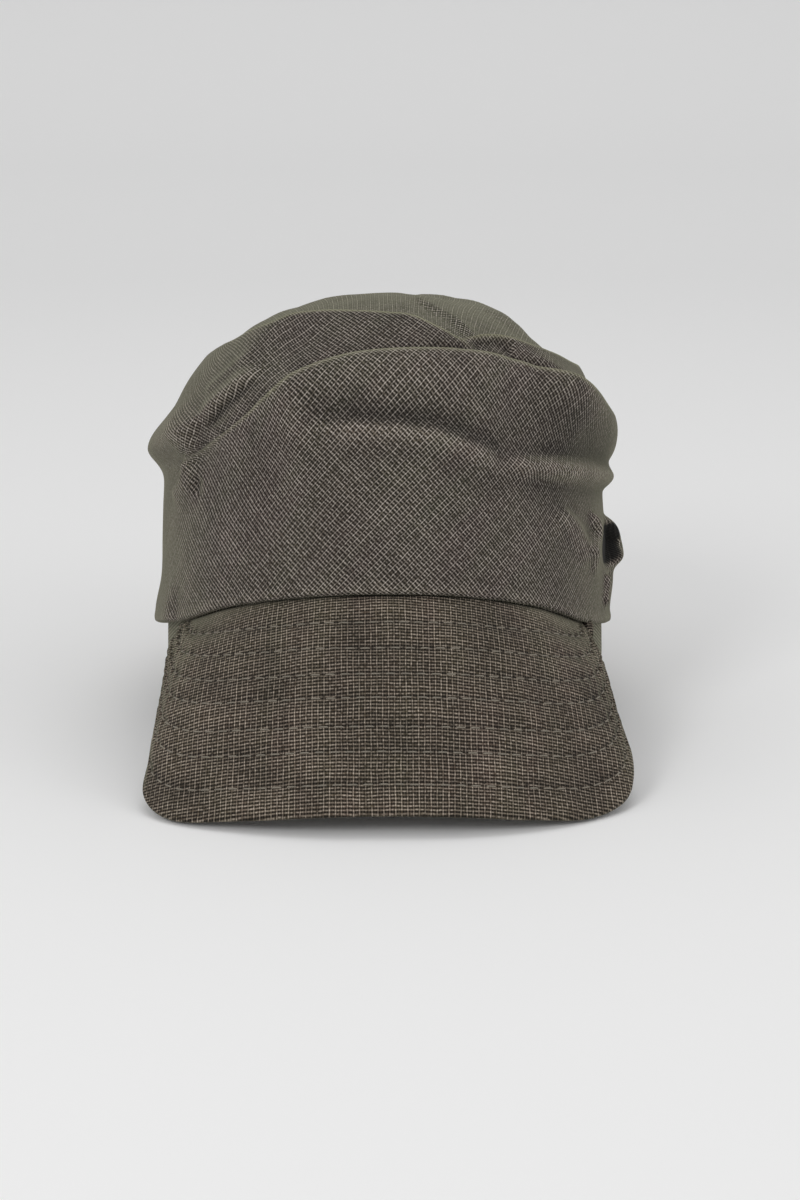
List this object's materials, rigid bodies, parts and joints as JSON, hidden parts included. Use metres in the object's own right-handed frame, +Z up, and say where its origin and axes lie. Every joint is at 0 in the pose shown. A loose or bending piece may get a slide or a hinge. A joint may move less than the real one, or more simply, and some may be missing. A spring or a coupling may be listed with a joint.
{
  "type": "military cap",
  "caption": "Soft draped field cap of coarse woven cloth with a gathered bias wrap and a steep stitched peak, resting on a surface.",
  "frame": {"origin": "on the floor, under the middle of the cap's overall box", "axes": "+Z up, -Y the way the peak points, +X to the right of someone who looks at the peak"},
  "size_m": [0.1814, 0.2668, 0.1609],
  "materials": {
    "cloth": "matte coarse plain weave, dark olive taupe with pale flecks"
  },
  "bodies": {
    "root": {"crown": "cloth", "drape": "cloth", "peak_upper": "cloth", "peak_underside": "cloth"}
  },
  "joints": []
}
